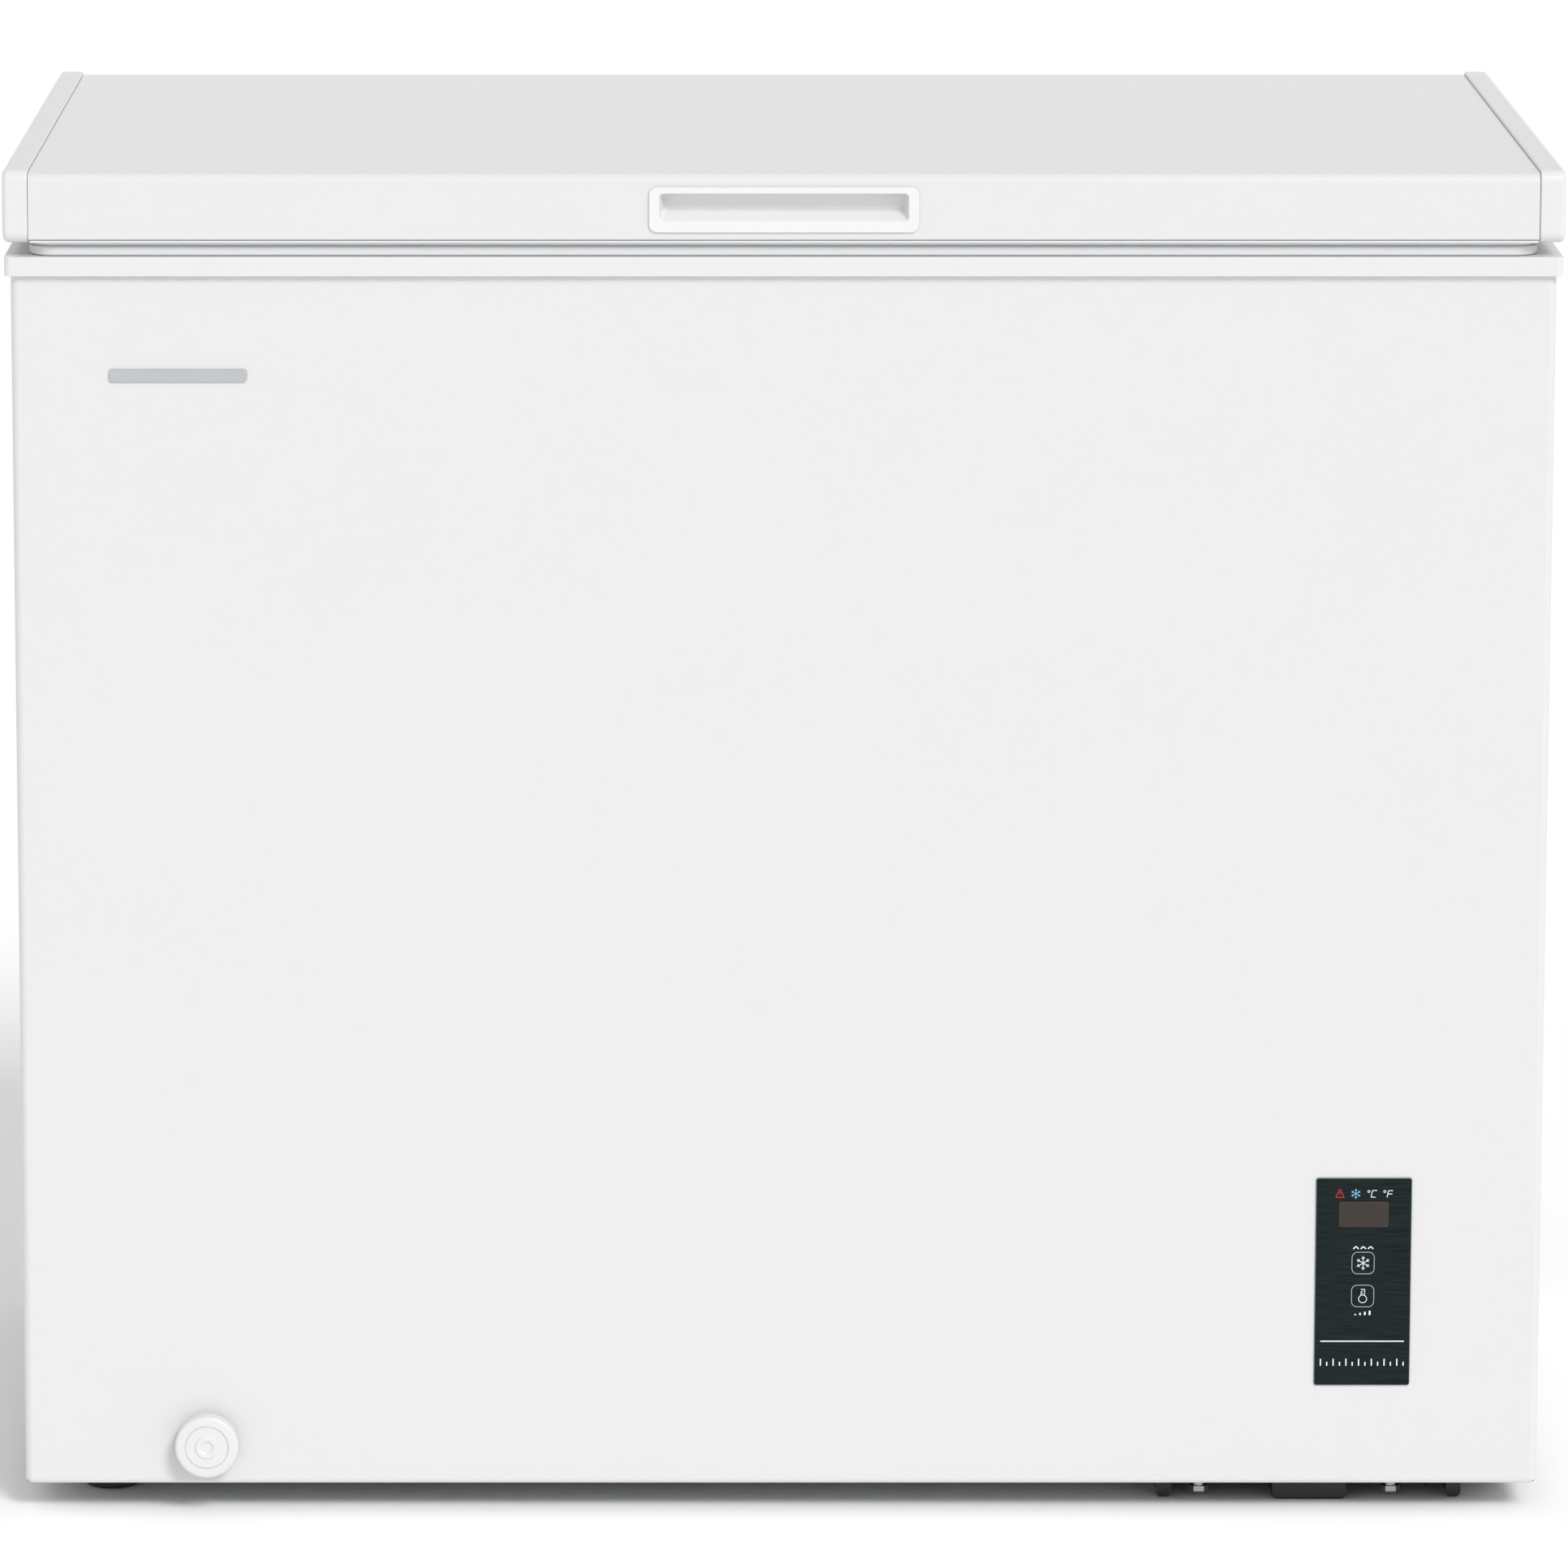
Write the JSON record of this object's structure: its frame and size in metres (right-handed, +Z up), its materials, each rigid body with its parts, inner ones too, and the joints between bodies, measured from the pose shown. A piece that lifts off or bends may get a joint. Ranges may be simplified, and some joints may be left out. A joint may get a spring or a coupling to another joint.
{
  "type": "chest freezer",
  "caption": "Insulated chest freezer with a hinged lid, stepped tub, hanging wire basket, front drain, low control panel and compressor bay.",
  "frame": {"origin": "on the floor, under the middle of the whole box", "axes": "+X to the freezer's right, seen from the front, +Y to the rear, where the lid's hinges are, and +Z up"},
  "size_m": [0.96, 0.575, 0.85],
  "materials": {
    "white_enamel": "gloss white baked enamel on folded steel sheet",
    "rear_steel": "satin white pre-painted steel",
    "white_plastic": "satin moulded ABS",
    "gasket_vinyl": "matte soft vinyl seal",
    "zinc_steel": "zinc-plated steel",
    "spring_steel": "oiled spring wire",
    "sensor_steel": "drawn steel capsule",
    "black_steel": "satin black stoved paint",
    "black_plastic": "matte moulded plastic",
    "panel_film": "dark satin film over plastic",
    "smoked_window": "smoked gloss window",
    "circuit_board": "green solder mask",
    "brushed_metal": "brushed plate",
    "aluminium_sheet": "embossed sheet",
    "copper": "drawn copper tube",
    "foam": "rigid foam",
    "rubber": "matte moulded rubber",
    "coated_wire": "white plastic-coated wire"
  },
  "bodies": {
    "cabinet": {"cabinet_wrap": "white_enamel", "rear_panel": "rear_steel", "bottom_panel": "zinc_steel", "rear_grille": "black_steel", "inner_liner": "aluminium_sheet", "top_frame": "white_plastic", "cabinet_foam": "foam", "evaporator_coil": "copper", "condenser_coil": "copper", "temperature_sensor": "sensor_steel", "control_fascia": "panel_film", "display_window": "smoked_window", "control_housing": "black_plastic", "control_board": "circuit_board", "badge_plate": "brushed_metal", "drain_spout": "white_plastic", "drain_tube": "white_plastic", "compressor_tray": "black_steel", "skid_front": "black_steel", "skid_rear": "black_steel", "compressor": "black_steel", "relay_cover": "black_plastic", "discharge_tube": "copper", "suction_tube": "copper", "filter_drier": "copper", "foot_front": "black_plastic", "foot_rear": "black_plastic", "rear_spacer_left": "black_plastic", "rear_spacer_right": "black_plastic", "cord_gland": "black_plastic", "compressor_grommet_1": "rubber", "compressor_bolt_1": "zinc_steel", "compressor_grommet_2": "rubber", "compressor_bolt_2": "zinc_steel", "compressor_grommet_3": "rubber", "compressor_bolt_3": "zinc_steel", "compressor_grommet_4": "rubber", "compressor_bolt_4": "zinc_steel", "tray_bolt_1": "zinc_steel", "tray_bolt_2": "zinc_steel", "hinge_lower_left": "zinc_steel", "hinge_pin_left": "zinc_steel", "hinge_spring_left": "spring_steel", "hinge_lower_right": "zinc_steel", "hinge_pin_right": "zinc_steel", "hinge_spring_right": "spring_steel"},
    "lid": {"lid_skin": "white_enamel", "lid_end_cap_right": "white_plastic", "lid_end_cap_left": "white_plastic", "lid_foam": "foam", "lid_inner_liner": "white_plastic", "lid_gasket": "gasket_vinyl", "lid_handle": "white_plastic", "hinge_upper_left": "zinc_steel", "hinge_upper_right": "zinc_steel"},
    "basket": {"wire_basket": "coated_wire"},
    "drain_cap": {"drain_cap": "white_plastic"},
    "drain_plug": {"drain_plug": "rubber"},
    "super_key": {"super_key": "panel_film"},
    "temp_key": {"temp_key": "panel_film"}
  },
  "joints": [
    {"name": "lid_hinge", "type": "hinge", "parent": "cabinet", "child": "lid", "pos_m": [0, 0.2815, 0.798], "axis": [-1, 0, 0], "range_deg": [0, 80]},
    {"name": "basket_slide", "type": "slide", "parent": "cabinet", "child": "basket", "axis": [-1, 0, 0], "range_m": [0, 0.6]},
    {"name": "drain_cap_pull", "type": "slide", "parent": "cabinet", "child": "drain_cap", "axis": [0, -1, 0], "range_m": [0, 0.02]},
    {"name": "drain_plug_lift", "type": "slide", "parent": "cabinet", "child": "drain_plug", "axis": [0, 0, 1], "range_m": [0, 0.04]},
    {"name": "super_key_press", "type": "slide", "parent": "cabinet", "child": "super_key", "axis": [0, 1, 0], "range_m": [0, 0.0004], "stiffness_N_per_m": 900},
    {"name": "temp_key_press", "type": "slide", "parent": "cabinet", "child": "temp_key", "axis": [0, 1, 0], "range_m": [0, 0.0004], "stiffness_N_per_m": 900}
  ]
}
